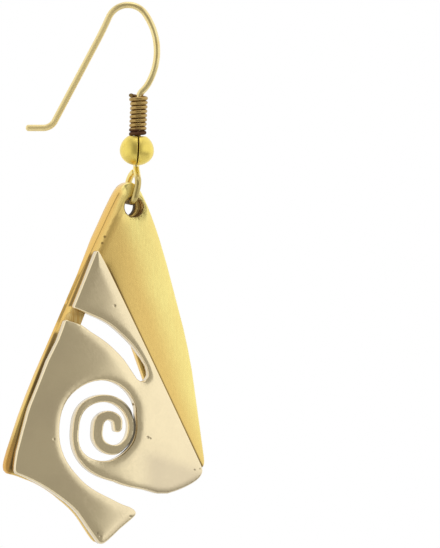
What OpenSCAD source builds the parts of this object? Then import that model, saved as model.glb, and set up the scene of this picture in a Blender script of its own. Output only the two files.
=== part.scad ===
// Dangle earring: a pierced two-metal pendant on a fish-hook ear wire.
// Millimetres, +Z up, seen from the front along +Y.
// The origin is the point under the top of the hook, where the earring hangs.

/* [Ear wire] */
// Thickness of the ear wire
wire_d = 0.65; // [0.6:0.01:0.68]
// Bend radius at the top of the hook
top_r = 2.1; // [1.8:0.1:2.4]
// Straight length of the leg behind the ear
leg_len = 8.9; // [7:0.1:11]
// Length of the turned-out tail
tail_len = 1.5; // [0.8:0.1:3]

/* [Coil and bead] */
// Thickness of the wrapped wire
coil_wire_d = 0.41; // [0.36:0.01:0.44]
// Turns in the wrapped coil
coil_turns = 9; // [6:1:9]
// Diameter of the ball bead
bead_d = 3.42; // [2.8:0.02:3.5]
// Height of the bead between its flat ends
bead_h = 2.94; // [2.6:0.02:3]
// Radius that rounds the bead's lower end
bead_foot_r = 2.05; // [1.9:0.05:2.5]
// Width of the bead's open seam
seam_w = 0.16; // [0.06:0.01:0.2]

/* [Pendant] */
// Turn of the pendant about the vertical, as it hangs
turned = 20; // [15:1:22]
// Radius of the gentle curve across the plates
curve_r = 60; // [50:5:200]
// Thickness of the gold plate around its hole
gold_top_t = 2.1; // [1.8:0.05:2.15]
// Thickness of the gold plate behind the silver
gold_t = 1.0; // [0.7:0.05:1.2]
// Thickness of the silver overlay
silver_t = 1.1; // [0.6:0.05:1.2]
// Gap between the gold and the silver
layer_gap = 0.05; // [0.03:0.01:0.1]
// Radius of the hole that hangs on the ring
hole_r = 1.0; // [0.98:0.01:1.05]

/* [Hidden] */
$fn = 64;
wire_r = wire_d / 2;
joint_r = wire_r + 0.004;
seat = 0.02;
coil_r = 0.645;
coil_pitch = coil_wire_d + 0.02;
bore_r = wire_r + 0.04;

// The hook's two branches, each from the top of the hook
// columns: straight length, bend radius, turn in degrees
FRONT_BRANCH = [
  [0, top_r, -55],
  [0, 6.5, -65],
  [0, 3.3, -17],
  [0, 0.95, 44.5],
  [7.35, 0, 0]
];
BACK_BRANCH = [
  [0, top_r, -66],
  [0, 40, 4],
  [leg_len, 1.3, 62],
  [tail_len, 0, 0]
];

// The ring below the bead: half its width, lower and upper corner radius, lean and middle
ring_half = 1.5;
ring_corner = 0.75;
ring_shoulder = 1.25;
ring_lean = 13;
ring_x = 0.451;
ring_z = -17.865;

// Middle of the pendant's hole, and how far its back half is off to the left and up
hole_x = 0.3;
hole_z = -19.9;
back_left = 0.5;
back_up = 0.1;

// Place and heading after one row of a branch
function after(p, row) =
  let (
    x = p[0] + row[0] * cos(p[2]),
    z = p[1] + row[0] * sin(p[2]),
    s = row[2] < 0 ? -1 : 1,
    h = p[2] + row[2]
  )
  [
    x + s * row[1] * (sin(h) - sin(p[2])),
    z - s * row[1] * (cos(h) - cos(p[2])),
    h
  ];

// Place and heading after the first n rows
function along(rows, n) = n == 0 ? [0, wire_r, 0] : after(along(rows, n - 1), rows[n - 1]);

// Smooth run through the points of a short table, n steps a span
function blend(a, b, c, d, t) =
  0.5 * (2 * b + (c - a) * t + (2 * a - 5 * b + 4 * c - d) * t * t
  + (3 * b - a - 3 * c + d) * t * t * t);
function smooth(p, n) =
  let (last = len(p) - 1)
  [
    for (i = [0:last - 1], k = [0:n - 1])
      blend(p[max(i - 1, 0)], p[i], p[i + 1], p[min(i + 2, last)], k / n),
    p[last]
  ];
function backwards(p) = [for (i = [len(p) - 1:-1:0]) p[i]];

// Outlines are as seen from the front, in tenths of a millimetre.
// This lays one on a curved plate whose front lies at the given depth.
function bow(u) = curve_r - sqrt(curve_r * curve_r - u * u);
function laid(points, depth) =
  [
    for (p = points)
      let (
        x = p[0] / 10 - hole_x,
        u = (x + depth * sin(turned)) / cos(turned),
        v = (x + (depth + bow(u)) * sin(turned)) / cos(turned)
      )
      [v, p[1] / 10]
  ];

// Gold plate, from its lower left corner over the top to the right tip
// columns: x, z
GOLD_EDGE = [
  [-122, -461.5], [-122.6, -456], [-120.3, -446], [-115.2, -430],
  [-107.8, -408], [-95.5, -376], [-81.7, -344], [-67.4, -312], [-53.8, -280],
  [-40.1, -250], [-31.8, -232], [-24.2, -216], [-16.8, -200], [-8.9, -184.5],
  [-3.4, -177.2], [3, -174.2], [9, -177.5], [13.7, -184.5], [20.8, -200],
  [26.8, -216], [32.1, -232], [39.1, -256], [47.6, -288], [55.7, -320],
  [62.5, -352], [67.6, -384], [72, -416], [75.1, -440], [76.6, -453],
  [75.4, -459], [70, -463]
];
GOLD_FOOT = [
  [-27, -527], [-30, -532.6], [-33, -532.5], [-37.8, -526.8], [-43.7, -517.6],
  [-50.2, -507.7], [-57.4, -499.4], [-64.8, -492.8], [-72.8, -486.1], [-81.7, -479.7],
  [-92.5, -473.7], [-102.3, -469.8], [-110, -466.8], [-119.4, -464.3]
];
// Gold plate, edge of the open space behind the silver
GOLD_INSIDE = [
  [46.5, -458], [17, -372], [5.8, -339], [-20, -267], [-23, -262], [-27, -267],
  [-42, -304], [-59, -350], [-92, -433]
];
GOLD_STRIP = [
  [-92, -451], [-84, -459], [-73, -466], [-62, -474], [-52, -483],
  [-44, -491.5], [-37, -500], [-31, -509]
];

// Silver overlay, in order round its edge
SILVER_CORNER = [
  [73.8, -458], [74.8, -463], [73, -468], [68, -473], [60, -477.7],
  [50, -482], [40, -485.2]
];
SILVER_FOOT = [
  [6, -500.4], [8.2, -503.2], [7.5, -507], [0.8, -513], [-7.6, -520.1],
  [-15, -527.3], [-22.6, -533.7], [-27, -534.6], [-29.7, -531.8]
];
SILVER_BOTTOM = [
  [-36, -523], [-41.7, -514.5], [-49, -504], [-58.5, -494.5], [-70.5, -485.5],
  [-80, -479], [-92.5, -472], [-104, -466.8], [-110, -464.5]
];
SILVER_LEFT = [
  [-112.2, -461.5], [-112.2, -456], [-109.8, -442], [-106.4, -430],
  [-101.6, -412], [-97, -397], [-87.3, -372.5], [-78.9, -352], [-68.8, -331.5], [-62, -313]
];
SLOT_LOWER = [
  [-61, -311.3], [-54, -313.3], [-45.6, -316.6], [-36.9, -322.9], [-27.6, -328.9],
  [-18.7, -335.6], [-11, -342.8], [-3.5, -351], [3, -360.5], [9.5, -370.5]
];
SLOT_END = [
  [13, -373], [17, -372.5], [20, -369], [20.6, -365], [18.8, -358]
];
SLOT_UPPER = [
  [14.5, -350], [6.5, -338.5], [-1.5, -330], [-9, -323], [-16.5, -316.8],
  [-27, -310.7], [-41, -304.7], [-52.3, -299.9]
];
SILVER_TIP = [
  [-53.1, -298.2], [-31.3, -244.8], [-30.6, -243.2], [-29.7, -242.3],
  [-28.6, -242.8], [-27.2, -244.8], [-20.2, -258], [-13.2, -272]
];

// Spiral cut of the silver, about its own middle
spiral_mid = [-20, -421];
// Outer edge of the cut, from its mouth inwards
// columns: degrees clockwise from straight down, radius
CUT_EDGE = [
  [-16, 80.2], [0, 67], [22, 57.8], [45, 51.9], [90, 47.7], [135, 49.9],
  [180, 48.9], [225, 38], [247, 31.4], [270, 29.1], [292, 28.7], [315, 28.4],
  [338, 29.4], [360, 31.1], [405, 32.7], [450, 28.1], [495, 29.3], [540, 27.4],
  [585, 23.8], [630, 21], [675, 19.4], [720, 13.1], [765, 6.5], [810, 4.3],
  [855, 5.3], [900, 9.4], [940, 9.6]
];
// Outer edge of the curling arm, from its root inwards
ARM_EDGE = [
  [-38, 81.4], [-30, 69], [-15, 56.9], [0, 49.8], [45, 40.6], [90, 34.4], [135, 36.2],
  [180, 35], [225, 31.1], [247, 28.3], [270, 26.8], [292, 26.4], [315, 25.8],
  [338, 26.3], [360, 24.3], [405, 17.9], [450, 14], [495, 16.1], [540, 18.8],
  [585, 18.7], [610, 16]
];
ARM_TIP = [
  [-5.1, -419.6], [-7, -422.6], [-10, -423.5], [-12.5, -421.9], [-13, -419]
];

function spiral(table) =
  [
    for (p = smooth(table, 6))
      spiral_mid - p[1] * [sin(p[0]), cos(p[0])]
  ];

gold_front = -gold_top_t / 2;
silver_front = gold_front - layer_gap - silver_t;
axis_y = gold_front + curve_r;

GOLD_OUTLINE = concat(
  smooth(GOLD_EDGE, 3),
  smooth(GOLD_INSIDE, 2),
  smooth(GOLD_STRIP, 2),
  smooth(GOLD_FOOT, 2)
);
SILVER_OUTLINE = concat(
  smooth(SILVER_CORNER, 3),
  spiral(ARM_EDGE),
  smooth(ARM_TIP, 2),
  backwards(spiral(CUT_EDGE)),
  smooth(SILVER_FOOT, 2),
  smooth(SILVER_BOTTOM, 2),
  smooth(SILVER_LEFT, 2),
  smooth(SLOT_LOWER, 2),
  smooth(SLOT_END, 3),
  smooth(SLOT_UPPER, 2),
  SILVER_TIP
);

// Wire bent along the rows of a branch, from the top of the hook.
// A ball a hair fatter than the wire joins each two stretches.
module bent_wire(rows) {
  for (i = [0:len(rows) - 1]) {
    p = along(rows, i);
    h = p[2];
    straight = rows[i][0];
    bend = rows[i][1];
    turn = abs(rows[i][2]);
    s = rows[i][2] < 0 ? -1 : 1;
    corner = after(p, [straight, 0, 0]);
    if (straight > 0) {
      translate([p[0], 0, p[1]])
        rotate([0, 90 - h, 0])
        translate([0, 0, seat])
        cylinder(r = wire_r, h = straight - 2 * seat);
      translate([corner[0], 0, corner[1]]) sphere(r = joint_r);
    }
    if (bend > 0) {
      end = after(p, rows[i]);
      off = seat / bend * 180 / PI;
      translate([
        corner[0] - s * bend * sin(h),
        0,
        corner[1] + s * bend * cos(h)
      ])
        rotate([90, 0, 0])
        rotate_extrude(angle = turn - 2 * off, start = (s > 0 ? h - 90 : h + 90 - turn) + off)
        translate([bend, 0]) circle(r = wire_r);
      translate([end[0], 0, end[1]]) sphere(r = joint_r);
    }
  }
}

// A quarter turn of the ring's wire about a point of its plane
module ring_bend(x, z, r, start) {
  translate([x, 0, z])
    rotate([90, 0, 0])
    rotate_extrude(angle = 90, start = start)
    translate([r, 0]) circle(r = wire_r);
}

// The ring, rounder above than below
module ring() {
  low = ring_half - ring_corner;
  high = ring_half - ring_shoulder;
  translate([-low, 0, -ring_half])
    rotate([0, 90, 0])
    cylinder(r = wire_r, h = 2 * low);
  translate([-high, 0, ring_half])
    rotate([0, 90, 0])
    cylinder(r = wire_r, h = 2 * high);
  for (s = [0, 1])
    mirror([s, 0, 0]) {
      translate([ring_half, 0, -low]) cylinder(r = wire_r, h = low + high);
      ring_bend(low, -low, ring_corner, -90);
      ring_bend(high, high, ring_shoulder, 0);
    }
}

// Puts a piece on the wire's stem, a length below the last bend
module on_stem(down) {
  stem = along(FRONT_BRANCH, 4);
  translate([stem[0] + down * cos(stem[2]), 0, stem[1] + down * sin(stem[2])])
    rotate([0, -90 - stem[2], 0])
    children();
}

// The pendant's own frame, turned about the vertical through its hole
module hung() {
  translate([hole_x, 0, 0]) rotate([0, 0, turned]) children();
}

// Straight-sided blank of an outline, cut along the pendant's depth
module blank(points) {
  translate([0, 4, 0])
    rotate([90, 0, 0])
    linear_extrude(height = 8)
    polygon(points);
}

module curved(r, tilt = 0, pivot_z = 0) {
  translate([0, axis_y, pivot_z])
    rotate([-tilt, 0, 0])
    translate([0, 0, -60])
    cylinder(r = r, h = 100, $fn = 180);
}

module ear_wire() {
  color("#e0bd55") {
    translate([0, 0, wire_r]) sphere(r = joint_r);
    bent_wire(FRONT_BRANCH);
    mirror([1, 0, 0]) bent_wire(BACK_BRANCH);
    translate([ring_x, 0, ring_z])
      rotate([0, ring_lean, 0])
      rotate([0, 0, 90 + turned])
      ring();
  }
}

// Its last turn opens out and follows the wire into the bend above
module wire_coil() {
  sides = 8;
  steps = 20;
  foot = 3.6;
  bend = FRONT_BRANCH[3][1];
  total = coil_turns * steps;
  rings = [
    for (i = [0:total])
      let (
        a = 360 * i / steps,
        z = coil_pitch * i / steps,
        above = max(0, z - foot),
        drift = bend - sqrt(bend * bend - above * above),
        flare = 0.14 * pow(max(0, 1 - (total - i) / steps), 2),
        r = coil_r + flare
      )
      for (k = [0:sides - 1])
        let (
          t = 360 * k / sides,
          q = r + coil_wire_d / 2 * cos(t)
        )
        [drift + q * cos(a), q * sin(a), z + coil_wire_d / 2 * sin(t)]
  ];
  walls = [
    for (i = [0:total - 1], k = [0:sides - 1])
      let (m = (k + 1) % sides)
      [i * sides + k, i * sides + m, (i + 1) * sides + m, (i + 1) * sides + k]
  ];
  ends = [
    [for (k = [sides - 1:-1:0]) k],
    [for (k = [0:sides - 1]) total * sides + k]
  ];
  color("#9a7a3a")
    on_stem(foot)
    polyhedron(points = rings, faces = concat(walls, ends), convexity = 12);
}

module ball_bead() {
  color("#e8c860")
    on_stem(5.3)
    difference() {
      rotate_extrude()
        intersection() {
          difference() {
            circle(d = bead_d);
            square([2 * bore_r, bead_d + 1], center = true);
          }
          translate([0, -bead_h / 2]) square([bead_d, bead_h]);
          translate([0, sqrt(pow(bead_foot_r, 2) - pow(bore_r, 2)) - bead_h / 2])
            circle(r = bead_foot_r);
        }
      rotate([0, 0, 6])
        translate([-seam_w / 2, -bead_d, -bead_d])
        cube([seam_w, bead_d, 2 * bead_d]);
    }
}

// Behind this side profile the plate is as thin as it gets
module thinned() {
  back = gold_front + gold_top_t;
  thin = gold_front + gold_t - 0.3;
  rotate([90, 0, 90])
    translate([0, 0, -20])
    linear_extrude(height = 40)
    polygon([[back, -10], [back, -23], [thin, -29.5], [thin, -70], [20, -70], [20, -10]]);
}

// Bore at the middle of the hole, its outer rim worn round, to be cut from a face to mid-depth
module half_bore(half) {
  rim = 0.15;
  translate([0, 0, -0.05]) cylinder(r = hole_r, h = 5);
  translate([0, 0, half - rim])
    cylinder(r1 = hole_r, r2 = hole_r + 2 * rim, h = 2 * rim);
}

module gold_plate() {
  color("#dcb850")
    hung()
    difference() {
      intersection() {
        blank(laid(GOLD_OUTLINE, gold_front));
        curved(curve_r);
      }
      intersection() {
        thinned();
        union() {
          curved(curve_r - gold_t, 0.8, -28);
          translate([-20, gold_front + gold_top_t, -25]) cube([40, 10, 20]);
        }
      }
      translate([0, 0, hole_z])
        rotate([90, 0, 0]) {
          half_bore(gold_top_t / 2);
          translate([-back_left, back_up, 0]) mirror([0, 0, 1]) half_bore(gold_top_t / 2);
        }
    }
}

module silver_overlay() {
  color("#b3a888")
    hung()
    difference() {
      intersection() {
        blank(laid(SILVER_OUTLINE, silver_front));
        curved(curve_r + layer_gap + silver_t);
      }
      curved(curve_r + layer_gap);
    }
}

ear_wire();
wire_coil();
ball_bead();
gold_plate();
silver_overlay();
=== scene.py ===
import math

import bpy
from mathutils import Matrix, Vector


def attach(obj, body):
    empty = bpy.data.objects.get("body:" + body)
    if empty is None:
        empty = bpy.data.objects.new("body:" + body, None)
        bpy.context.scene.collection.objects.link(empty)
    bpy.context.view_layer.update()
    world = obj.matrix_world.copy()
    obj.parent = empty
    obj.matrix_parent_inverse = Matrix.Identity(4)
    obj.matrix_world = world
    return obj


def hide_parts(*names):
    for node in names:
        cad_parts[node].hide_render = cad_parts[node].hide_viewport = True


bl_info = {
    "name": "Dangle earring",
    "version": (1, 0, 0),
    "blender": (4, 5, 0),
    "location": "View3D > Sidebar > Earring",
    "description": "Finishes a two-metal dangle earring and its plain studio",
    "category": "Object",
}

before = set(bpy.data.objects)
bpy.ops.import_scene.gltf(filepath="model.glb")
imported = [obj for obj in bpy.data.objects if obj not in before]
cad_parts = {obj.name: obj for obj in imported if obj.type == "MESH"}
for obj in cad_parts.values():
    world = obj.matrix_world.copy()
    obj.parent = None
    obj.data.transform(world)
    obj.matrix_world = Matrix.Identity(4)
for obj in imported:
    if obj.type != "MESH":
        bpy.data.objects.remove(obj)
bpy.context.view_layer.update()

MM = 0.001
# Radii of the ear wire and of the bead's bore
WIRE_R = 0.325 * MM
BORE_R = 0.365 * MM
# Turn of the pendant about the upright through its hole, and the hole's middle
TURNED = math.radians(20)
HOLE = Vector((0.3, 0.0, -19.9)) * MM
ACROSS = Vector((math.cos(TURNED), math.sin(TURNED), 0.0))
DEEP = Vector((-math.sin(TURNED), math.cos(TURNED), 0.0))
UPRIGHT = Vector((0.0, 0.0, 1.0))
# The back half of the hole is a little off its front half, and the ledge between them lies this deep
HOLE_BACK = HOLE - ACROSS * 0.5 * MM + UPRIGHT * 0.1 * MM
HOLE_LEDGE = 1.05 * MM
# The plates are bowed round this upright line, and their fronts lie this far from it
BOW_AXIS = Vector((-19.862, 55.395, 0.0)) * MM
GOLD_FRONT = 60.0 * MM
SILVER_FRONT = 61.15 * MM
# Stem of the ear wire: its top end and the way it runs down
STEM_TOP = Vector((1.1165, 0.0, -8.966)) * MM
STEM_LEAN = math.radians(2.5)
STEM_DOWN = Vector((-math.sin(STEM_LEAN), 0.0, -math.cos(STEM_LEAN)))
# Places along the stem: the foot of the coil, the bead's middle and the end of the straight
COIL_FOOT = 3.66 * MM
BEAD_MIDDLE = 5.3 * MM
STEM_LENGTH = 6.8 * MM
# The ear wire's free end, and the straight lengths of its tail and of its leg
TAIL = Vector((-9.9685, 0.0, -11.9782)) * MM
TAIL_LENGTH = 1.5 * MM
LEG_LENGTH = 8.9 * MM
# From the top of the leg over the hook to the stem
# columns: radius in millimetres, degrees turned
HOOK_BENDS = ((40, 4), (2.1, -66), (2.1, -55), (6.5, -65), (3.3, -17), (0.95, 44.5))
# The loop under the bead: half its width, the radii of its lower corners and of its shoulder,
# its lean and its middle
LOOP_HALF = 1.5 * MM
LOOP_CORNER = 0.75 * MM
LOOP_SHOULDER = 1.25 * MM
LOOP_LEAN = math.radians(13)
LOOP_MIDDLE = Vector((0.451, 0.0, -17.865)) * MM

# Steep lines, seen from the front
# columns: x and z of a point in millimetres, way to the right for each millimetre up
GOLD_LEFT = (-0.95, -18.45, 0.4425)
SILVER_LEFT = (-5.31, -29.82, 0.408)
SILVER_LEFT_LOWER = (-6.2, -31.3, 0.46)
SILVER_RIGHT = (-1.32, -27.2, -0.4677)
SHADE_LINE = (0.2, -22.7, -0.335)
# Below the slot the silver's left edge bends off its line by this times the square of the way down,
# with all lengths in metres
SILVER_BEND = 8.2
# Gentle lines, seen from the front
# columns: x and z of a point in millimetres, way up for each millimetre to the right
SLOT_TOP = (-5.2, -30.1, -0.42)
LOBE_FOOT = (1.9, -44.5, -0.36)
# Heights in millimetres of the painted light in the slot, of the painted shade along the silver's left and
# right edges and of the painted shade at the neck under the coil: nothing, full, still full, nothing
SLOT_PAINTED_LIGHT_HEIGHTS = (-32.9, -32.6, -29.9, -29.6)
SHADE_LEFT_HEIGHTS = (-46.8, -45.8, -24.8, -24.3)
SHADE_RIGHT_HEIGHTS = (-46.8, -46.3, -27.0, -24.6)
NECK_SHADE_HEIGHTS = (-13.6, -13.4, -12.7, -12.55)

# The plates are cut into squares of this size, and finer within this width of their rims
SQUARE = 0.3 * MM
FINE_WIDTH = 0.8 * MM
# Depths in millimetres between which the sides of a plate follow its sinking rim less and less
FADE_START = 0.2
FADE_END = 0.95
# The left side of the gold front's rim: its reach from GOLD_LEFT, its lowest and its highest point
LEFT_REACH = 0.9 * MM
LEFT_LOW = -46.0 * MM
LEFT_HIGH = -18.4 * MM
# The facet along it runs out between these heights
FACET_FADES = -31.0 * MM
FACET_GONE = -37.0 * MM

# Colours of painted shade, painted light and a painted reflection, and of pits and other marks
GOLD_WALL = (0.85, 0.54, 0.16)
GOLD_PIT = (0.3, 0.19, 0.06)
HOLE_SHADE_BROWN = (0.3, 0.19, 0.08)
HOLE_SHADE_BLACK = (0.02, 0.009, 0.004)
SLOT_PAINTED_LIGHT_PALE = (1.0, 0.76, 0.32)
SLOT_PAINTED_LIGHT_DEEP = (0.82, 0.52, 0.16)
CORNER_SHADE_ORANGE = (0.8, 0.4, 0.09)
SILVER_LOBE_SHADE = (0.64, 0.54, 0.38)
SILVER_WALL_SHADE = (0.66, 0.56, 0.41)
SILVER_PIT = (0.35, 0.28, 0.17)
SILVER_SHADE = (0.06, 0.05, 0.03)
WIRE_LEG_LIGHT = (1.0, 0.84, 0.46)
WIRE_LEG_LIGHT_COAT = (1.0, 0.8, 0.34)
WIRE_LOOP = (0.56, 0.44, 0.15)
WIRE_SHADE = (0.07, 0.03, 0.01)
BEAD_SMEAR = (0.74, 0.58, 0.16)
BEAD_DARK_REFLECTION = (0.62, 0.48, 0.1)
BEAD_BROWN = (0.1, 0.05, 0.02)
COIL_MOTTLE = (0.30, 0.18, 0.06)
COIL_GROOVE_SHADE = (0.16, 0.07, 0.03)
COIL_LAST_TURN_SHADE = (0.09, 0.03, 0.015)
# The light tent's front side and the rest of it
FRONT_OF_TENT = (0.365, 0.352, 0.325)
WHITE = (1.0, 1.0, 1.0)

# Pits in the plates, seen from the front
# columns: x, z, radius in millimetres
GOLD_PITS = ((-2.25, -22.85, 0.22), (-2.5, -23.5, 0.2))
SILVER_PITS = (
    (-1.3, -29.75, 0.2), (-3.0, -40.6, 0.3), (-1.13, -44.7, 0.3), (2.0, -42.9, 0.22),
    (2.25, -43.0, 0.14), (-3.0, -52.4, 0.25), (-2.7, -52.7, 0.16), (0.3, -50.8, 0.2),
    (6.67, -46.2, 0.16), (7.2, -46.1, 0.14), (-7.3, -43.0, 0.18),
)

# Circle through the middle of the narrow slit beside the curl: x, z and radius in millimetres
SLIT = (-2.431, -41.799, 3.128)
# The cut that frees the curl runs round this middle, x and z in millimetres
CURL_MIDDLE = (-2.0, -42.1)
# columns: degrees clockwise from straight down, radius in millimetres
CURL_CUT = (
    (0, 2.77), (20, 2.77), (50, 4.6), (90, 4.1), (135, 4.3), (180, 4.2), (225, 3.45),
    (247, 3.0), (270, 2.8), (292, 2.76), (315, 2.71), (338, 2.78), (360, 2.77),
)
# The curl's root begins at this radius in millimetres and lies between these turns in degrees
ROOT_RADIUS = 2.77
ROOT_START = 20
ROOT_END = 70
# Right of this x in millimetres the curl stands forward, by this much for each millimetre
CURL_BEND = -3.6
CURL_LIFT = 0.1


# Settings


def length_prop(name, description, millimetres):
    return bpy.props.FloatProperty(
        name=name, description=description, default=millimetres * MM, unit="LENGTH", precision=5
    )


def count_prop(name, description, value, low, high):
    return bpy.props.IntProperty(name=name, description=description, default=value, min=low, max=high)


def colour_prop(name, description, value):
    return bpy.props.FloatVectorProperty(
        name=name, description=description, default=value, subtype="COLOR", size=3, min=0.0, max=1.0
    )


class EarringSizes(bpy.types.PropertyGroup):
    """Sizes that a user may want to change."""

    wire_sides: count_prop("Wire sides", "Facets round the ear wire", 28, 12, 64)
    coil_wire: length_prop("Coil wire", "Thickness of the wrapped wire", 0.41)
    coil_radius: length_prop("Coil radius", "Radius of the coil to the wire's middle", 0.68)
    coil_pitch: length_prop("Coil pitch", "Rise of one turn of the coil", 0.43)
    coil_turns: count_prop("Coil turns", "Turns of the coil", 9, 3, 20)
    bead_diameter: length_prop("Bead", "Diameter of the ball bead", 3.42)
    bead_height: length_prop("Bead height", "Height of the bead between its flat ends", 2.94)
    bead_edge: length_prop("Bead edge", "Rounding of the bead's edges", 0.09)
    seam: length_prop("Bead seam", "Width of the bead's open seam", 0.16)
    gold_edge: length_prop("Gold edge", "Rounding of the gold plate's edges", 0.14)
    silver_edge: length_prop("Silver edge", "Rounding of the silver plate's edges", 0.13)
    roll_width: length_prop("Roll width", "How far in from a rim the front begins to sink", 0.95)
    gold_roll: length_prop("Gold roll", "How far the gold's front sinks at its rims", 0.07)
    silver_roll: length_prop("Silver roll", "How far the silver's front sinks at its rims", 0.09)
    facet_width: length_prop(
        "Facet width", "How wide the worn facet along the gold plate's left edge is", 0.88
    )
    facet_depth: length_prop("Facet depth", "How far the facet sinks at the gold plate's left edge", 0.7)


class EarringColours(bpy.types.PropertyGroup):
    """Colours of the metals."""

    gold: colour_prop("Gold", "Brushed gold of the plate", (1.0, 0.86, 0.31))
    # Deep gold is also the colour of the painted shade left of a slanting line on the gold plate
    gold_deep_and_shade: colour_prop("Deep gold", "Warmer gold where the polish is thin", (0.84, 0.57, 0.18))
    wire: colour_prop("Wire gold", "Pale polished gold of the wire", (0.95, 0.80, 0.40))
    bead: colour_prop("Bead gold", "Greenish gold of the bead", (0.94, 0.75, 0.17))
    coil: colour_prop("Coil gold", "Brownish gold of the coil", (0.50, 0.34, 0.12))
    silver: colour_prop("Silver", "Warm satin silver", (0.97, 0.83, 0.54))
    silver_deep: colour_prop("Dark silver", "Dulled silver", (0.84, 0.71, 0.47))
    # Colour of the painted shade in the step round the silver
    step_shade_colour: colour_prop("Tarnish", "Brown in hollows and seams", (0.10, 0.05, 0.02))


# Shader maths


class Value:
    """A shader socket. Sums and products of these add Math nodes."""

    def __init__(self, finish, socket):
        self.finish = finish
        self.socket = socket

    def maths(self, operation, *others):
        return self.finish.add("ShaderNodeMath", {"operation": operation}, dict(enumerate(others)))

    def __add__(self, other):
        return self.maths("ADD", self, other)

    def __radd__(self, other):
        return self.maths("ADD", other, self)

    def __sub__(self, other):
        return self.maths("SUBTRACT", self, other)

    def __rsub__(self, other):
        return self.maths("SUBTRACT", other, self)

    def __mul__(self, other):
        return self.maths("MULTIPLY", self, other)

    def __rmul__(self, other):
        return self.maths("MULTIPLY", other, self)


class Finish:
    """A node tree, to which one method adds every node."""

    def __init__(self, tree):
        self.tree = tree
        self.tree.nodes.clear()

    def add(self, kind, settings=None, sockets=None, out=0):
        node = self.tree.nodes.new(kind)
        for name, value in (settings or {}).items():
            setattr(node, name, value)
        for name, value in (sockets or {}).items():
            target = node.inputs[name]
            if isinstance(value, Value):
                self.tree.links.new(value.socket, target)
            elif target.type == "RGBA" and len(value) == 3:
                target.default_value = (*value, 1.0)
            else:
                target.default_value = value
        return Value(self, node.outputs[out]) if node.outputs else None

    def place(self):
        """Object coordinates, in metres."""
        return self.add("ShaderNodeTexCoord", out=3)

    def span(self, value, low, high, to_low=0.0, to_high=1.0):
        """Smooth step of a value from low to high."""
        return self.add(
            "ShaderNodeMapRange",
            {"interpolation_type": "SMOOTHSTEP"},
            {"Value": value, "From Min": low, "From Max": high, "To Min": to_low, "To Max": to_high},
        )

    def rise(self, length, empty, full):
        """Nothing at one length and full at another, both in millimetres."""
        return self.span(length, empty * MM, full * MM)

    def band(self, length, empty, full, still_full, gone):
        """Full along a stretch and nothing beyond it. The limits are in millimetres."""
        return self.rise(length, empty, full) * self.rise(length, gone, still_full)

    def mix(self, factor, a, b):
        return self.add("ShaderNodeMix", {"data_type": "RGBA"}, {0: factor, 6: a, 7: b}, out=2)

    def noise(self, scale, detail=2.0, stretch=(1.0, 1.0, 1.0), turn=(0.0, 0.0, 0.0)):
        """Noise whose scale is in cells a metre, squeezed along an axis by stretch."""
        turned = self.add("ShaderNodeMapping", None, {"Vector": self.place(), "Rotation": turn})
        sized = self.add("ShaderNodeMapping", None, {"Vector": turned, "Scale": stretch})
        return self.add("ShaderNodeTexNoise", None, {"Vector": sized, "Scale": scale, "Detail": detail})

    def vector(self, operation, a, b, out=0):
        return self.add("ShaderNodeVectorMath", {"operation": operation}, {0: a, 1: b}, out)

    def near(self, x, z, radius):
        """One at a point seen from the front, fading to nothing at a radius. Millimetres."""
        flat = self.vector("MULTIPLY", self.place(), (1.0, 0.0, 1.0))
        away = self.vector("DISTANCE", flat, (x * MM, 0.0, z * MM), out=1)
        return self.rise(away, radius, 0.0)

    def pits(self, table):
        """Small pits at places seen from the front."""
        total = 0.0
        for x, z, radius in table:
            total = self.near(x, z, radius) + total
        return total

    def parts(self, vector):
        """The three parts of a vector."""
        node = self.add("ShaderNodeSeparateXYZ", None, {0: vector}).socket.node
        return [Value(self, out) for out in node.outputs]

    def from_axis(self, point, along):
        """Distance in metres from a line through a point."""
        arm = self.vector("SUBTRACT", self.place(), tuple(point))
        turned = self.vector("CROSS_PRODUCT", arm, tuple(along))
        return self.add("ShaderNodeVectorMath", {"operation": "LENGTH"}, {0: turned}, out=1)

    def under(self, front):
        """Depth in metres under the front of a bowed plate."""
        return front - self.from_axis(BOW_AXIS, UPRIGHT)

    def either(self, first, *others):
        """The greater of some values."""
        for other in others:
            first = self.add("ShaderNodeMath", {"operation": "MAXIMUM"}, {0: first, 1: other})
        return first

    def unsigned(self, value):
        """A value without its sign."""
        return self.add("ShaderNodeMath", {"operation": "ABSOLUTE"}, {0: value})

    def bump(self, height, distance, under=None):
        """Relief whose height runs from nothing to one, times a distance in metres."""
        sockets = {"Height": height, "Distance": distance, "Strength": 1.0}
        if under is not None:
            sockets["Normal"] = under
        return self.add("ShaderNodeBump", None, sockets)


def new_finish(name):
    made = bpy.data.materials.new(name)
    made.use_nodes = True
    return made, Finish(made.node_tree)


def close_metal(finish, colour, roughness, normal, painted_coat=0.0, dark=BEAD_BROWN):
    """Bare metal, under a dull coat where a mask asks for it; the coat paints shade, and in places light."""
    bare = {"Base Color": colour, "Roughness": roughness, "Normal": normal, "Metallic": 1.0}
    metal = finish.add("ShaderNodeBsdfPrincipled", None, bare)
    dulled = {**bare, "Base Color": dark, "Roughness": 0.8, "Metallic": 0.0, "Specular IOR Level": 0.2}
    coat = finish.add("ShaderNodeBsdfPrincipled", None, dulled)
    both = finish.add("ShaderNodeMixShader", None, {0: painted_coat, 1: metal, 2: coat})
    finish.add("ShaderNodeOutputMaterial", None, {"Surface": both})


def x_of(line, z):
    """Where a steep line stands at a height, in metres."""
    x, height, run = line
    return x * MM + run * (z - height * MM)


def z_of(line, x):
    """How high a gentle line runs at a place from left to right, in metres."""
    place, z, climb = line
    return z * MM + climb * (x - place * MM)


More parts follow.
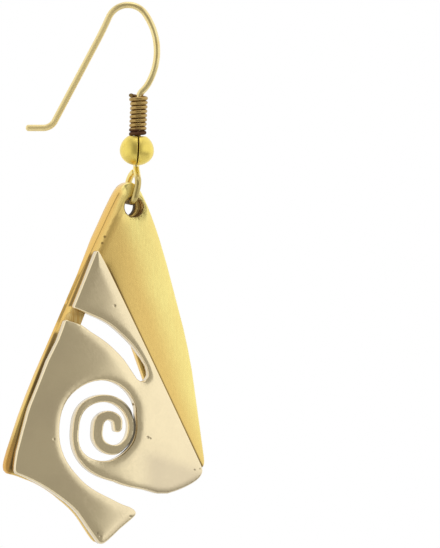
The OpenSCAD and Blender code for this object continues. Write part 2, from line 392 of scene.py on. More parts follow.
def silver_step(f, x, z):
    """How far a point lies right of the silver's left edge, the painted shade along that edge, and all the
    painted shade in the step round the silver."""
    lower = f.rise(z, -30.3, -30.7)
    down = SILVER_LEFT_LOWER[1] * MM - z
    curve = x_of(SILVER_LEFT_LOWER, z) + SILVER_BEND * down * down
    edge = x - (curve * lower + x_of(SILVER_LEFT, z) * (1.0 - lower))
    # Painted shade beside the silver's left edge, along its right edge and under the slot's upper edge
    beside = f.band(edge, -0.72, -0.52, -0.3, -0.1) * f.band(z, *SHADE_LEFT_HEIGHTS)
    beside = beside * f.either(f.rise(z, -32.2, -32.6), f.rise(z, -29.9, -29.7))
    groove_shade = f.band(x - x_of(SILVER_RIGHT, z), -0.6, -0.3, 0.02, 0.2) * f.band(z, *SHADE_RIGHT_HEIGHTS)
    shade_under_slot_top = f.band(z_of(SLOT_TOP, x) - z, -0.6, -0.4, 0.0, 0.9) * f.rise(x, -3.2, -3.6) * lower
    return edge, beside, f.either(beside * 0.85, groove_shade * 0.85, shade_under_slot_top * 0.5)


def painted_hole_shade(f, depth):
    """Painted shade in the hole: brown in its bore, save for the edge of its ledge, and black behind the
    ledge.
    """
    shade_in_bore = f.rise(f.from_axis(HOLE, DEEP), 1.16, 1.02)
    # The ledge's edge is kept out of the painted shade, so that it stays bright
    worn = f.band(f.from_axis(HOLE_BACK, DEEP), 1.0, 1.06, 1.18, 1.28)
    ledge = f.rise(f.unsigned(depth - HOLE_LEDGE), 0.16, 0.1)
    shade_in_bore = shade_in_bore * (1.0 - worn * ledge * 0.8)
    return shade_in_bore, shade_in_bore * f.rise(depth, 1.08, 1.2)


def gold_sheet(colours):
    made, f = new_finish("brushed_gold_sheet")
    x, _, z = f.parts(f.place())
    gold, deep = tuple(colours.gold), tuple(colours.gold_deep_and_shade)
    blotch = f.noise(220.0, 3.0)
    strokes = f.noise(9000.0, 2.0, (1.0, 1.0, 0.05))
    fine_strokes = f.noise(15000.0, 2.0, (1.0, 1.0, 0.12), (0.0, 0.25, 0.0))
    dents = f.pits(GOLD_PITS)
    depth = f.under(GOLD_FRONT)
    on_face = f.rise(depth, 0.85, 0.7)
    edge, beside, step = silver_step(f, x, z)
    # Painted shade in the step round the silver
    step_shade = step * on_face
    # Painted shade in the hole: brown in the bore, and black behind the ledge
    shade_in_bore, behind = painted_hole_shade(f, depth)
    # Painted light: a pale matt coat on the sheet seen through the slot. Painted shade: orange towards the
    # plate's lower left corner
    slot_painted_light = f.band(z, *SLOT_PAINTED_LIGHT_HEIGHTS) * f.rise(x, -3.2, -3.6) * f.rise(edge, -0.35, -0.05) * on_face
    corner_shade = f.rise(edge, -0.15, -0.5) * f.rise(z, -41.0, -45.0) * on_face
    slot_light_strokes = f.mix(f.span(strokes, 0.4, 0.6), SLOT_PAINTED_LIGHT_DEEP, SLOT_PAINTED_LIGHT_PALE)
    dark = f.mix(shade_in_bore, tuple(colours.step_shade_colour), HOLE_SHADE_BROWN)
    dark = f.mix(behind, dark, HOLE_SHADE_BLACK)
    dark = f.mix(slot_painted_light * (1.0 - step_shade), dark, slot_light_strokes)
    dark = f.mix(corner_shade * (1.0 - beside), dark, CORNER_SHADE_ORANGE)
    painted_coat = f.either(step_shade * 0.9, shade_in_bore * 0.62, behind * 0.95, slot_painted_light * 0.85, corner_shade * 0.6)
    colour = f.mix(f.span(blotch, 0.35, 0.7) * 0.2, gold, deep)
    colour = f.mix(f.span(strokes, 0.35, 0.65) * 0.16, colour, deep)
    # Painted shade: deeper gold left of a slanting line
    colour = f.mix(f.rise(x - x_of(SHADE_LINE, z), 1.3, -1.3) * 0.85, colour, deep)
    # Warmer on the side walls and on the facet
    colour = f.mix(f.rise(depth, 0.25, 0.6) * 0.8, colour, GOLD_WALL)
    colour = f.mix(dents, colour, GOLD_PIT)
    # Rougher in the slot and along the crease beside the facet
    crease = f.band(x - x_of(GOLD_LEFT, z), 0.45, 0.75, 1.3, 1.7) * f.rise(z, -25.6, -24.6)
    rough = f.either(f.span(fine_strokes, 0.3, 0.7, 0.22, 0.3), slot_painted_light * 0.5, crease * 0.5)
    wavy = f.bump(f.noise(260.0, 1.0), 20e-6)
    lines = f.bump(fine_strokes, 0.8e-6, f.bump(strokes, 1.6e-6, wavy))
    close_metal(f, colour, rough, f.bump(1.0 - dents, 25e-6, lines), painted_coat, dark)
    return made


def silver_sheet(colours):
    made, f = new_finish("satin_silver_sheet")
    x, _, z = f.parts(f.place())
    silver, deep = tuple(colours.silver), tuple(colours.silver_deep)
    blotch = f.noise(260.0, 3.0)
    speck = f.noise(2600.0, 2.0)
    grain = f.noise(9000.0, 3.0, (1.0, 1.0, 0.35), (0.0, 0.4, 0.0))
    scratch = f.noise(5000.0, 1.0, (1.0, 1.0, 0.03), (0.0, 0.5, 0.0))
    dents = f.pits(SILVER_PITS)
    depth = f.under(SILVER_FRONT)
    # Painted shade at the foot of the side walls, and in the narrow slit beside the curl
    foot = f.rise(depth, 0.75, 1.05)
    slit_x, slit_z, slit_radius = SLIT
    from_middle = f.from_axis((slit_x * MM, 0.0, slit_z * MM), (0.0, 1.0, 0.0))
    slit = f.rise(f.unsigned(from_middle - slit_radius * MM), 0.2, 0.06)
    slit = slit * f.rise(x, -1.4, -0.4) * f.rise(z, -38.6, -40.4)
    colour = f.mix(f.span(blotch, 0.35, 0.72) * 0.5, silver, deep)
    # Painted shade: darker along the foot of the lobe
    lobe_shade = f.rise(z - z_of(LOBE_FOOT, x), 0.9, -0.7) * f.rise(x, 0.5, 3.0)
    colour = f.mix(lobe_shade * 0.6, colour, SILVER_LOBE_SHADE)
    # and painted shade on the side walls
    colour = f.mix(f.rise(depth, 0.1, 0.3) * 0.7, colour, SILVER_WALL_SHADE)
    colour = f.mix(f.span(speck, 0.55, 0.75) * 0.12, colour, deep)
    colour = f.mix(dents * 0.55, colour, SILVER_PIT)
    rough = f.span(grain, 0.3, 0.7, 0.15, 0.21)
    wavy = f.bump(f.noise(300.0, 1.0), 20e-6)
    lines = f.bump(f.span(scratch, 0.62, 0.72), 0.6e-6, f.bump(grain, 0.8e-6, wavy))
    relief = f.bump(1.0 - dents, 22e-6, lines)
    close_metal(f, colour, rough, relief, f.either(foot * 0.55, slit * 0.9), SILVER_SHADE)
    return made


def wire_gold(colours):
    made, f = new_finish("polished_gold_wire")
    x, y, z = f.parts(f.place())
    drawn = f.noise(6000.0, 2.0, (1.0, 1.0, 0.15))
    worn = f.noise(500.0, 2.0)
    colour = f.mix(f.span(worn, 0.4, 0.75) * 0.45, tuple(colours.wire), tuple(colours.gold_deep_and_shade))
    # Painted light: brighter along the leg and the tail, under a pale coat as well
    leg = f.rise(x, 0.5, -2.0)
    colour = f.mix(leg * 0.85, colour, WIRE_LEG_LIGHT)
    # The loop is darker towards the front, takes the bead's colour towards the back and gets painted shade
    # inside the hole
    loop = f.rise(z, -15.7, -16.4)
    colour = f.mix(loop * f.rise(y, -0.9, -1.3) * 0.85, colour, WIRE_LOOP)
    colour = f.mix(loop * f.rise(y, -1.15, -0.85) * 0.55, colour, tuple(colours.bead))
    shade_in_bore = f.rise(f.from_axis(HOLE, DEEP), 1.0, 0.75) * f.rise(y, -1.25, -0.95)
    # Painted shade at the neck between the coil and the bead
    neck_shade = f.band(z, *NECK_SHADE_HEIGHTS)
    rough = f.either(f.span(drawn, 0.3, 0.7, 0.24, 0.34), leg * 0.28)
    # The coat paints light on the leg and the tail, and shade in the bore and at the neck
    painted_coat = f.either(shade_in_bore * 0.95, neck_shade * 0.9, leg * 0.5)
    close_metal(f, colour, rough, f.bump(drawn, 1.0e-6), painted_coat, f.mix(leg, WIRE_SHADE, WIRE_LEG_LIGHT_COAT))
    return made


def bead_gold(colours):
    made, f = new_finish("satin_gold_bead")
    x, y, _ = f.parts(f.place())
    smear = f.noise(900.0, 3.0)
    fine = f.noise(7000.0, 2.0)
    colour = f.mix(f.span(smear, 0.35, 0.75) * 0.5, tuple(colours.bead), BEAD_SMEAR)
    # Painted reflection: a darker strip left of the seam
    dark_reflection = f.band(x, -0.2, 0.05, 0.85, 1.0) * f.rise(y, 0.0, -0.6)
    colour = f.mix(dark_reflection * 0.25, colour, BEAD_DARK_REFLECTION)
    rough = f.span(smear, 0.3, 0.7, 0.33, 0.42)
    close_metal(f, colour, rough, f.bump(fine, 0.8e-6, f.bump(smear, 14e-6)))
    return made


def coil_gold(colours):
    made, f = new_finish("gold_coil_painted_shade")
    mottle = f.noise(1200.0, 3.0)
    fine = f.noise(8000.0, 2.0)
    # Painted shade between the turns, and all over the lowest turn
    outside = f.rise(f.from_axis(STEM_TOP, STEM_DOWN), 0.62, 0.82)
    arm = f.vector("SUBTRACT", f.place(), tuple(STEM_TOP))
    last_turn_shade = f.rise(f.vector("DOT_PRODUCT", arm, tuple(STEM_DOWN), out=1), 3.05, 3.25)
    colour = f.mix(f.span(mottle, 0.4, 0.7) * 0.5, tuple(colours.coil), COIL_MOTTLE)
    painted_coat = f.either((1.0 - outside) * 0.75, last_turn_shade * 0.92)
    rough = f.span(fine, 0.3, 0.7, 0.22, 0.36)
    close_metal(f, colour, rough, f.bump(fine, 1.5e-6), painted_coat, f.mix(last_turn_shade, COIL_GROOVE_SHADE, COIL_LAST_TURN_SHADE))
    return made


def floor_paper():
    made, f = new_finish("pale_floor")
    shade = f.span(f.noise(6.0, 2.0), 0.2, 0.8, 0.86, 0.9)
    colour = f.add("ShaderNodeCombineColor", None, {0: shade, 1: shade, 2: shade})
    shader = f.add("ShaderNodeBsdfPrincipled", None, {"Base Color": colour, "Roughness": 0.7})
    f.add("ShaderNodeOutputMaterial", None, {"Surface": shader})
    return made


# Modelling helpers


def clear_selection():
    if bpy.context.object and bpy.context.object.mode != "OBJECT":
        bpy.ops.object.mode_set(mode="OBJECT")
    bpy.ops.object.select_all(action="DESELECT")


def only(piece):
    clear_selection()
    piece.select_set(True)
    bpy.context.view_layer.objects.active = piece


def pick(piece, wanted):
    """Opens a piece for editing with only the wanted points selected."""
    only(piece)
    bpy.ops.object.mode_set(mode="EDIT")
    bpy.ops.mesh.select_mode(type="VERT")
    bpy.ops.mesh.select_all(action="DESELECT")
    bpy.ops.object.mode_set(mode="OBJECT")
    for v in piece.data.vertices:
        v.select = wanted(v.co)
    bpy.ops.object.mode_set(mode="EDIT")


def copied(node, name):
    """A copy of a CAD node's mesh with its loose triangles merged."""
    clear_selection()
    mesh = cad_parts[node].data.copy()
    piece = bpy.data.objects.new(name, mesh)
    bpy.context.scene.collection.objects.link(piece)
    only(piece)
    bpy.ops.object.mode_set(mode="EDIT")
    bpy.ops.mesh.select_all(action="SELECT")
    bpy.ops.mesh.remove_doubles(threshold=1e-7)
    bpy.ops.object.mode_set(mode="OBJECT")
    return piece


def from_bow_axis(point):
    """How far a point lies from the bow's axis, across the plates and through them."""
    arm = point - BOW_AXIS
    return arm.dot(ACROSS), arm.dot(DEEP)


def unbow(piece):
    """Lays a bowed plate out flat: what lay on a cylinder about the bow's axis comes to lie in a plane."""
    for v in piece.data.vertices:
        across, deep = from_bow_axis(v.co)
        v.co -= DEEP * (math.hypot(across, deep) + deep)


def bow(piece):
    """Bows a flat plate again, point by point the reverse of unbow."""
    for v in piece.data.vertices:
        across, deep = from_bow_axis(v.co)
        v.co -= DEEP * (math.sqrt(deep * deep - across * across) + deep)


def tidy_flats(degrees):
    """Makes one face of neighbours that lie in one plane."""
    bpy.ops.object.mode_set(mode="EDIT")
    bpy.ops.mesh.select_all(action="SELECT")
    bpy.ops.mesh.dissolve_limited(angle_limit=math.radians(degrees))
    bpy.ops.object.mode_set(mode="OBJECT")


def apply(piece, kind, name, **settings):
    """Adds a modifier with its settings and applies it."""
    only(piece)
    added = piece.modifiers.new(name, kind)
    for key, value in settings.items():
        setattr(added, key, value)
    bpy.ops.object.modifier_apply(modifier=added.name)


def round_edges(piece, width, degrees, segments=3):
    """Rounds every edge where two faces meet at more than an angle."""
    apply(
        piece,
        "BEVEL",
        "round",
        width=width,
        segments=segments,
        limit_method="ANGLE",
        angle_limit=math.radians(degrees),
        use_clamp_overlap=False,
        miter_outer="MITER_ARC",
    )


def behind_front(point, front):
    """How far a point of a flat plate lies behind its front, in millimetres."""
    return (from_bow_axis(point)[1] + front) / MM


def on_front(point, front):
    return abs(behind_front(point, front)) < 0.004


def front_rim(piece, front):
    """The edges round a flat plate's front, as a piece of their own."""
    only(piece)
    for face in piece.data.polygons:
        face.select = all(on_front(piece.data.vertices[k].co, front) for k in face.vertices)
    for edge in piece.data.edges:
        edge.select = False
    for v in piece.data.vertices:
        v.select = False
    bpy.ops.object.mode_set(mode="EDIT")
    bpy.ops.mesh.select_mode(type="FACE")
    bpy.ops.mesh.region_to_loop()
    bpy.ops.mesh.duplicate()
    bpy.ops.mesh.separate(type="SELECTED")
    bpy.ops.mesh.select_mode(type="VERT")
    bpy.ops.object.mode_set(mode="OBJECT")
    rim = [o for o in bpy.context.selected_objects if o is not piece]
    if len(rim) != 1 or not rim[0].data.edges:
        raise RuntimeError("no rim was found on " + piece.name)
    return rim[0]


def square_cuts(piece, step):
    """Cuts a flat plate into small squares, so that it can be bowed and worn."""
    only(piece)
    for way in (ACROSS, UPRIGHT):
        low = min(v.co.dot(way) for v in piece.data.vertices)
        high = max(v.co.dot(way) for v in piece.data.vertices)
        bpy.ops.object.mode_set(mode="EDIT")
        for k in range(1, int((high - low) / step) + 1):
            bpy.ops.mesh.select_all(action="SELECT")
            bpy.ops.mesh.bisect(plane_co=way * (low + k * step), plane_no=way, threshold=1e-7)
        bpy.ops.object.mode_set(mode="OBJECT")


def near_rim(piece, rim, front, width, share=lambda point: 1.0, falloff="LINEAR"):
    """A vertex group that is full at the front's rim, empty a width away from it and fades with depth."""
    group = piece.vertex_groups.new(name="near")
    shares = piece.vertex_groups.new(name="share")
    for v in piece.data.vertices:
        under = behind_front(v.co, front)
        if under < FADE_END:
            faded = min(1.0, (FADE_END - under) / (FADE_END - FADE_START))
            group.add([v.index], 0.0, "REPLACE")
            shares.add([v.index], share(v.co) * faded, "REPLACE")
    apply(
        piece,
        "VERTEX_WEIGHT_PROXIMITY",
        "nearness",
        vertex_group="near",
        target=rim,
        proximity_mode="GEOMETRY",
        proximity_geometry={"EDGE"},
        min_dist=width,
        max_dist=0.0,
        falloff_type=falloff,
        mask_vertex_group="share",
    )


def fine_cuts(piece, rim, front, width, cuts):
    """Cuts the front finer near its rims, where it is to be rolled."""
    near_rim(piece, rim, front, width)
    only(piece)
    bpy.ops.object.mode_set(mode="EDIT")
    bpy.ops.mesh.select_mode(type="VERT")
    bpy.ops.mesh.select_all(action="DESELECT")
    bpy.ops.object.mode_set(mode="OBJECT")
    near = piece.vertex_groups["near"].index
    for v in piece.data.vertices:
        weight = sum(g.weight for g in v.groups if g.group == near)
        v.select = weight > 0 and on_front(v.co, front)
    bpy.ops.object.mode_set(mode="EDIT")
    bpy.ops.mesh.quads_convert_to_tris(quad_method="BEAUTY", ngon_method="BEAUTY")
    bpy.ops.mesh.subdivide(number_cuts=cuts)
    bpy.ops.object.mode_set(mode="OBJECT")
    piece.vertex_groups.clear()


def roll_rims(piece, rim, front, width, depth, share=lambda point: 1.0, falloff="SHARP"):
    """Lets the front sink towards its rims, as stamped sheet does where it is cut."""
    near_rim(piece, rim, front, width, share, falloff)
    apply(piece, "DISPLACE", "sink", direction="Y", strength=depth, mid_level=0.0, vertex_group="near")
    piece.vertex_groups.clear()


def flat_sheet(node, name, front, edge):
    """A plate of the frame laid flat with its edges rounded, and the edges of its front by themselves."""
    piece = copied(node, name)
    unbow(piece)
    tidy_flats(1.5)
    rim = front_rim(piece, front)
    round_edges(piece, edge, 50)
    square_cuts(piece, SQUARE)
    fine_cuts(piece, rim, front, FINE_WIDTH, 2)
    return piece, rim


def facet_share(point):
    """How much of the facet a point has: it runs out beside the silver's lower half."""
    return min(1.0, max(0.0, (point.z - FACET_GONE) / (FACET_FADES - FACET_GONE)))


def left_part(rim):
    """Only the left side of a rim."""
    pick(rim, lambda p: p.x > x_of(GOLD_LEFT, p.z) + LEFT_REACH or not LEFT_LOW < p.z < LEFT_HIGH)
    bpy.ops.mesh.delete(type="VERT")
    bpy.ops.object.mode_set(mode="OBJECT")


def finish_piece(piece, material, smooth, body, node, even=False):
    """Puts a piece's place into its mesh, gives it its metal and ties it to the frame."""
    only(piece)
    bpy.ops.object.transform_apply(location=True, rotation=True, scale=True)
    piece.data.materials.clear()
    piece.data.materials.append(material)
    bpy.ops.object.shade_smooth_by_angle(angle=math.radians(smooth))
    if even:
        apply(piece, "WEIGHTED_NORMAL", "even", keep_sharp=True, weight=60)
    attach(piece, body)
    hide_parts(node)
    clear_selection()


class Bender:
    """Draws a round wire as a bender would: a ring of points pushed on and turned."""

    def __init__(self, name, start, heading, sides):
        clear_selection()
        turn = heading.to_track_quat("Z", "Y").to_euler()
        bpy.ops.mesh.primitive_circle_add(vertices=sides, radius=WIRE_R, location=start, rotation=turn)
        self.piece = bpy.context.object
        self.piece.name = name
        bpy.ops.object.transform_apply(location=True, rotation=True, scale=True)
        bpy.ops.object.mode_set(mode="EDIT")
        bpy.ops.mesh.select_all(action="SELECT")
        self.at = start.copy()
        self.heading = heading.normalized()

    def straight(self, length):
        step = self.heading * length
        bpy.ops.mesh.extrude_region_move(TRANSFORM_OT_translate={"value": step})
        self.at += step

    def bend(self, radius, degrees, axis):
        """Turns right-handed about an axis through the bend's middle."""
        angle = math.radians(degrees)
        side = axis.cross(self.heading).normalized() * (1 if degrees > 0 else -1)
        centre = self.at + side * radius
        # A step for each three degrees. Spin turns left-handed
        steps = max(3, int(abs(degrees) / 3))
        bpy.ops.mesh.spin(steps=steps, angle=-angle, center=centre, axis=axis)
        self.at = centre + self.turned(self.at - centre, axis, angle)
        self.heading = self.turned(self.heading, axis, angle).normalized()

    def turn_to(self, way, radius):
        self.bend(radius, math.degrees(self.heading.angle(way)), self.heading.cross(way).normalized())

    def reach(self, point, way, first, last):
        """Runs to a point in a bend, a straight and a bend, and comes to it heading a given way."""

        def across(a, b, radius):
            return (a + b) * radius * math.tan(a.angle(b) / 2)

        # The slant of the straight is bettered step by step
        between = (point - self.at).normalized()
        for _ in range(40):
            start = self.at + across(self.heading, between, first)
            end = point - across(between, way, last)
            between = (between + (end - start).normalized()).normalized()
        self.turn_to(between, first)
        self.straight((end - start).length)
        self.turn_to(way, last)

    @staticmethod
    def turned(vector, axis, angle):
        from_axis = axis.normalized()
        return (
            vector * math.cos(angle)
            + from_axis.cross(vector) * math.sin(angle)
            + from_axis * from_axis.dot(vector) * (1 - math.cos(angle))
        )

    def dome(self):
        """Closes the open end with a rounded cap, of four rings twenty degrees apart."""
        height = WIRE_R * 0.8
        done = 0.0
        size = 1.0
        for k in range(1, 5):
            angle = math.radians(20 * k)
            push = height * math.sin(angle) - done
            done += push
            bpy.ops.mesh.extrude_region_move(TRANSFORM_OT_translate={"value": self.heading * push})
            grow = math.cos(angle) / size
            size = math.cos(angle)
            bpy.ops.transform.resize(value=(grow, grow, grow), center_override=self.at + self.heading * done)
        bpy.ops.mesh.edge_face_add()


def in_curl(point):
    """One on the curl, nothing on the plate round it, and between the two at the curl's root."""
    x, z = point.x / MM - CURL_MIDDLE[0], point.z / MM - CURL_MIDDLE[1]
    turn = math.degrees(math.atan2(-x, -z)) % 360
    away = math.hypot(x, z)
    for (low, r_low), (high, r_high) in zip(CURL_CUT, CURL_CUT[1:]):
        if low <= turn <= high:
            reach = r_low + (r_high - r_low) * (turn - low) / (high - low)
    if away > reach:
        return 0.0
    if away > ROOT_RADIUS and turn < 90:
        return min(1.0, max(0.0, (turn - ROOT_START) / (ROOT_END - ROOT_START)))
    return 1.0


def off_curl(point):
    return 1.0 - in_curl(point)


def lift_curl(piece):
    """Bends the curl's right side a little forward."""
    for v in piece.data.vertices:
        along = v.co.x / MM - CURL_BEND
        if along > 0 and in_curl(v.co) > 0:
            # The first millimetre is a gentle bend and the rest is straight
            v.co.y -= CURL_LIFT * MM * (along * along / 2 if along < 1 else along - 0.5)


# Pieces


class EARRING_OT_ear_wire(bpy.types.Operator):
    """Bends the ear wire from its tail over the hook to the loop that carries the pendant"""

    bl_idname = "earring.ear_wire"
    bl_label = "Ear wire"

    def execute(self, context):
        sizes = context.scene.earring_sizes
        wire = Bender("ear_wire_bent", TAIL, Vector((1.0, 0.0, 0.0)), sizes.wire_sides)
        # The hook's bends turn about the way towards the viewer
        towards = Vector((0.0, -1.0, 0.0))
        wire.straight(TAIL_LENGTH)
        wire.bend(1.3 * MM, 62, towards)
        wire.straight(LEG_LENGTH)
        for radius, degrees in HOOK_BENDS:
            wire.bend(radius * MM, degrees, towards)
        # The loop lies in an upright plane that leans sideways and runs along the pendant's depth
        up = Vector((math.sin(LOOP_LEAN), 0.0, math.cos(LOOP_LEAN)))
        forward = Vector((
            math.sin(TURNED) * math.cos(LOOP_LEAN),
            -math.cos(TURNED),
            -math.sin(TURNED) * math.sin(LOOP_LEAN),
        ))
        side = forward.cross(up)
        # Straight down to the bead's foot, then out to the loop's front in a soft S
        foot = STEM_TOP + STEM_DOWN * STEM_LENGTH
        wire.straight((foot - wire.at).dot(wire.heading))
        front = LOOP_MIDDLE + forward * LOOP_HALF
        wire.reach(front - up * 0.1 * MM, -up, 0.55 * MM, 1.4 * MM)
        low = LOOP_MIDDLE - up * (LOOP_HALF - LOOP_CORNER)
        wire.straight((low - wire.at).dot(wire.heading))
        wire.bend(LOOP_CORNER, -90, side)
        wire.straight(2 * (LOOP_HALF - LOOP_CORNER))
        wire.bend(LOOP_CORNER, -90, side)
        wire.straight(2 * LOOP_HALF - LOOP_CORNER - LOOP_SHOULDER)
        wire.bend(LOOP_SHOULDER, -72, side)
        wire.dome()
        piece = wire.piece
        pick(piece, lambda point: point.x < TAIL.x + 1e-6)
        wire.heading, wire.at = Vector((-1.0, 0.0, 0.0)), TAIL.copy()
        wire.dome()
        bpy.ops.mesh.select_all(action="SELECT")
        bpy.ops.mesh.remove_doubles(threshold=1e-7)
        bpy.ops.mesh.normals_make_consistent(inside=False)
        bpy.ops.object.mode_set(mode="OBJECT")
        finish = wire_gold(context.scene.earring_colours)
        finish_piece(piece, finish, 40, "hook_with_ring", "ear_wire")
        return {"FINISHED"}


class EARRING_OT_wire_coil(bpy.types.Operator):
    """Winds the fine wire round the stem"""

    bl_idname = "earring.wire_coil"
    bl_label = "Wire coil"

    def execute(self, context):
        sizes = context.scene.earring_sizes
        clear_selection()
        bpy.ops.mesh.primitive_circle_add(
            vertices=14,
            radius=sizes.coil_wire / 2,
            location=(sizes.coil_radius, 0.0, 0.0),
            rotation=(math.radians(90), 0.0, 0.0),
        )
        piece = bpy.context.object
        piece.name = "wire_coil_wound"
        bpy.ops.object.transform_apply(location=True, rotation=True, scale=True)
        wound = piece.modifiers.new("wind", "SCREW")
        wound.axis = "Z"
        wound.angle = math.radians(360)
        wound.screw_offset = sizes.coil_pitch
        wound.iterations = sizes.coil_turns
        wound.steps = wound.render_steps = 28
        bpy.ops.object.modifier_apply(modifier=wound.name)
        bpy.ops.object.mode_set(mode="EDIT")
        bpy.ops.mesh.select_all(action="SELECT")
        bpy.ops.mesh.fill_holes(sides=0)
        bpy.ops.mesh.select_all(action="SELECT")
        bpy.ops.mesh.normals_make_consistent(inside=False)
        bpy.ops.object.mode_set(mode="OBJECT")
        # The upper end stands off the stem
        top = sizes.coil_turns * sizes.coil_pitch
        pick(piece, lambda p: p.z > top - 0.55 * sizes.coil_wire and p.x > 0 and abs(p.y) < 1e-6)
        bpy.ops.transform.resize(
            value=(1.2, 1.2, 1.0),
            center_override=(0.0, 0.0, top),
            use_proportional_edit=True,
            proportional_edit_falloff="SMOOTH",
            proportional_size=0.8 * MM,
        )
        bpy.ops.object.mode_set(mode="OBJECT")
        # The winding begins at the left
        piece.rotation_euler = (0.0, 0.0, math.radians(190))
        bpy.ops.object.transform_apply(location=True, rotation=True, scale=True)
        piece.rotation_euler = (0.0, STEM_LEAN, 0.0)
        piece.location = STEM_TOP + STEM_DOWN * COIL_FOOT
        finish = coil_gold(context.scene.earring_colours)
        finish_piece(piece, finish, 50, "hook_with_ring", "wire_coil")
        return {"FINISHED"}


class EARRING_OT_ball_bead(bpy.types.Operator):
    """Turns the ball bead round its bore and leaves its seam open"""

    bl_idname = "earring.ball_bead"
    bl_label = "Ball bead"

    def execute(self, context):
        sizes = context.scene.earring_sizes
        radius = sizes.bead_diameter / 2
        half = sizes.bead_height / 2
        clear_selection()
        bpy.ops.mesh.primitive_circle_add(
            vertices=96,
            radius=radius,
            fill_type="NGON",
            location=(0.0, 0.0, 0.0),
            rotation=(math.radians(90), 0.0, 0.0),
        )
        piece = bpy.context.object
        piece.name = "ball_bead_turned"
        bpy.ops.object.transform_apply(location=True, rotation=True, scale=True)
        bpy.ops.object.mode_set(mode="EDIT")
        # Cut flat at the top and along the bore
        for place, way in (((0, 0, half), (0, 0, 1)), ((BORE_R, 0, 0), (-1, 0, 0))):
            bpy.ops.mesh.select_all(action="SELECT")
            bpy.ops.mesh.bisect(plane_co=place, plane_no=way, clear_outer=True, threshold=1e-7)
        bpy.ops.object.mode_set(mode="OBJECT")
        # The lower half is pressed flatter than a ball
        pick(piece, lambda p: p.z < 0)
        bpy.ops.transform.resize(value=(1.0, 1.0, half / radius), center_override=(0.0, 0.0, 0.0))
        bpy.ops.mesh.select_all(action="SELECT")
        # The seam is open at the front, a little to the right
        gap = 2 * math.asin(sizes.seam / 2 / radius)
        seam_at = math.radians(6 - 90)
        bpy.ops.mesh.spin(steps=90, angle=-(2 * math.pi - gap), center=(0, 0, 0), axis=(0, 0, 1))
        bpy.ops.mesh.select_all(action="SELECT")
        bpy.ops.mesh.fill_holes(sides=0)
        bpy.ops.mesh.select_all(action="SELECT")
        bpy.ops.mesh.normals_make_consistent(inside=False)
        bpy.ops.object.mode_set(mode="OBJECT")
        piece.rotation_euler = (0.0, 0.0, seam_at + gap / 2)
        bpy.ops.object.transform_apply(location=True, rotation=True, scale=True)
        round_edges(piece, sizes.bead_edge, 35, 4)
        piece.rotation_euler = (0.0, STEM_LEAN, 0.0)
        piece.location = STEM_TOP + STEM_DOWN * BEAD_MIDDLE
        finish = bead_gold(context.scene.earring_colours)
        finish_piece(piece, finish, 30, "hook_with_ring", "ball_bead")
        return {"FINISHED"}


class EARRING_OT_gold_plate(bpy.types.Operator):
    """Rounds the gold plate's edges, lets its front sink towards them and wears its left edge to a facet"""

    bl_idname = "earring.gold_plate"
    bl_label = "Gold plate"

    def execute(self, context):
        sizes = context.scene.earring_sizes
        piece, rim = flat_sheet("gold_plate", "gold_plate_rolled", GOLD_FRONT, sizes.gold_edge)
        roll_rims(piece, rim, GOLD_FRONT, sizes.roll_width, sizes.gold_roll)
        left_part(rim)
        roll_rims(piece, rim, GOLD_FRONT, sizes.facet_width, sizes.facet_depth, facet_share, "LINEAR")
        bpy.data.objects.remove(rim)
        bow(piece)
        finish = gold_sheet(context.scene.earring_colours)
        finish_piece(piece, finish, 35, "pendant", "gold_plate", even=True)
        return {"FINISHED"}


class EARRING_OT_silver_overlay(bpy.types.Operator):
    """Rounds the silver plate's edges, lets its front sink towards them and lifts the curl a little"""

    bl_idname = "earring.silver_overlay"
    bl_label = "Silver overlay"

    def execute(self, context):
        sizes = context.scene.earring_sizes
        piece, rim = flat_sheet("silver_overlay", "silver_overlay_rolled", SILVER_FRONT, sizes.silver_edge)
        roll_rims(piece, rim, SILVER_FRONT, sizes.roll_width, sizes.silver_roll, off_curl)
        bpy.data.objects.remove(rim)
        bow(piece)
        lift_curl(piece)
        finish = silver_sheet(context.scene.earring_colours)
        finish_piece(piece, finish, 35, "pendant", "silver_overlay", even=True)
        return {"FINISHED"}


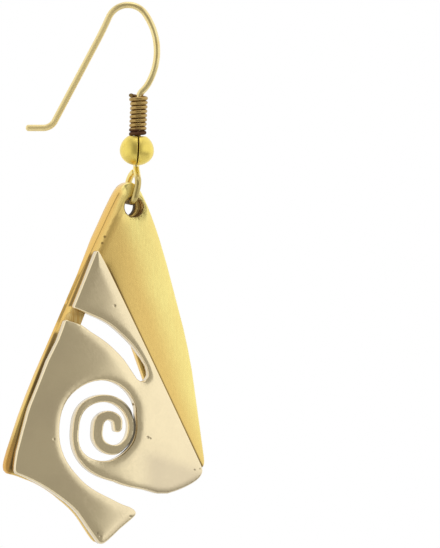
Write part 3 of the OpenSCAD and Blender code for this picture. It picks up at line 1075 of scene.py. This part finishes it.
class EARRING_OT_stage(bpy.types.Operator):
    """Sets the pale floor, the soft light and the camera"""

    bl_idname = "earring.stage"
    bl_label = "Plain studio"

    def execute(self, context):
        scene = context.scene
        clear_selection()
        middle = (0.0, 0.0, -0.45)
        bpy.ops.mesh.primitive_circle_add(vertices=96, radius=0.7, fill_type="NGON", location=middle)
        floor = bpy.context.object
        floor.name = "floor"
        floor.data.materials.append(floor_paper())
        self.surroundings(scene)
        self.lamp("overhead", place=(0.1, -0.2, 0.7), size=0.5, power=0.4)
        self.camera(scene)
        scene.view_settings.view_transform = "Standard"
        return {"FINISHED"}

    def surroundings(self, scene):
        """White all round as in a light tent, with the side that faces the earring's front darker."""
        world = bpy.data.worlds.new("light_tent")
        scene.world = world
        world.use_nodes = True
        f = Finish(world.node_tree)
        # Where a ray heads: x to the right, y away from the camera, z up
        x, y, z = f.parts(f.add("ShaderNodeTexCoord", out=0))
        right = f.span(x, 0.52, 0.61) * f.span(z, -0.3, -0.12)
        left = f.span(x, -0.45, -0.7)
        top = f.span(z, 0.8, 0.95)
        behind = f.span(y, -0.1, 0.3)
        seen = f.add("ShaderNodeLightPath", out=0)
        level = f.mix(f.either(right, left, top, behind, seen), FRONT_OF_TENT, WHITE)
        back = f.add("ShaderNodeBackground", None, {"Color": level, "Strength": 1.0})
        f.add("ShaderNodeOutputWorld", None, {"Surface": back})

    def lamp(self, name, place, size, power):
        bpy.ops.object.light_add(type="AREA", location=place)
        lamp = bpy.context.object
        lamp.name = name
        lamp.data.size = size
        lamp.data.energy = power
        middle = Vector((0.0, 0.0, -0.03))
        aim = middle - Vector(place)
        lamp.rotation_euler = aim.to_track_quat("-Z", "Y").to_euler()

    def camera(self, scene):
        """Ten pixels of the photograph to the millimetre, seen from straight in front."""
        away, sensor, photo_height = 0.8, 36.0, 54.8 * MM
        # In front of the photograph's middle
        place = (9.2 * MM, -away, -26.585 * MM)
        bpy.ops.object.camera_add(location=place, rotation=(math.radians(90), 0.0, 0.0))
        camera = bpy.context.object
        camera.data.sensor_width = sensor
        camera.data.lens = sensor * away / photo_height
        camera.data.clip_start, camera.data.clip_end = 0.01, 10.0
        scene.camera = camera


# Panel and registration


PIECES = (
    EARRING_OT_stage,
    EARRING_OT_ear_wire,
    EARRING_OT_wire_coil,
    EARRING_OT_ball_bead,
    EARRING_OT_gold_plate,
    EARRING_OT_silver_overlay,
)


class EARRING_PT_panel(bpy.types.Panel):
    """Lists the pieces of the earring"""

    bl_idname = "EARRING_PT_panel"
    bl_label = "Dangle earring"
    bl_space_type = "VIEW_3D"
    bl_region_type = "UI"
    bl_category = "Earring"

    def draw(self, context):
        for group in (context.scene.earring_sizes, context.scene.earring_colours):
            for name in group.__annotations__:
                self.layout.prop(group, name)
        for piece in PIECES:
            self.layout.operator(piece.bl_idname)


CLASSES = (EarringSizes, EarringColours, *PIECES, EARRING_PT_panel)


def register():
    for made in CLASSES:
        bpy.utils.register_class(made)
    bpy.types.Scene.earring_sizes = bpy.props.PointerProperty(type=EarringSizes)
    bpy.types.Scene.earring_colours = bpy.props.PointerProperty(type=EarringColours)


def unregister():
    del bpy.types.Scene.earring_colours
    del bpy.types.Scene.earring_sizes
    for made in reversed(CLASSES):
        bpy.utils.unregister_class(made)


def main():
    register()
    bpy.ops.earring.stage()
    bpy.ops.earring.ear_wire()
    bpy.ops.earring.wire_coil()
    bpy.ops.earring.ball_bead()
    bpy.ops.earring.gold_plate()
    bpy.ops.earring.silver_overlay()


if __name__ == "__main__":
    main()
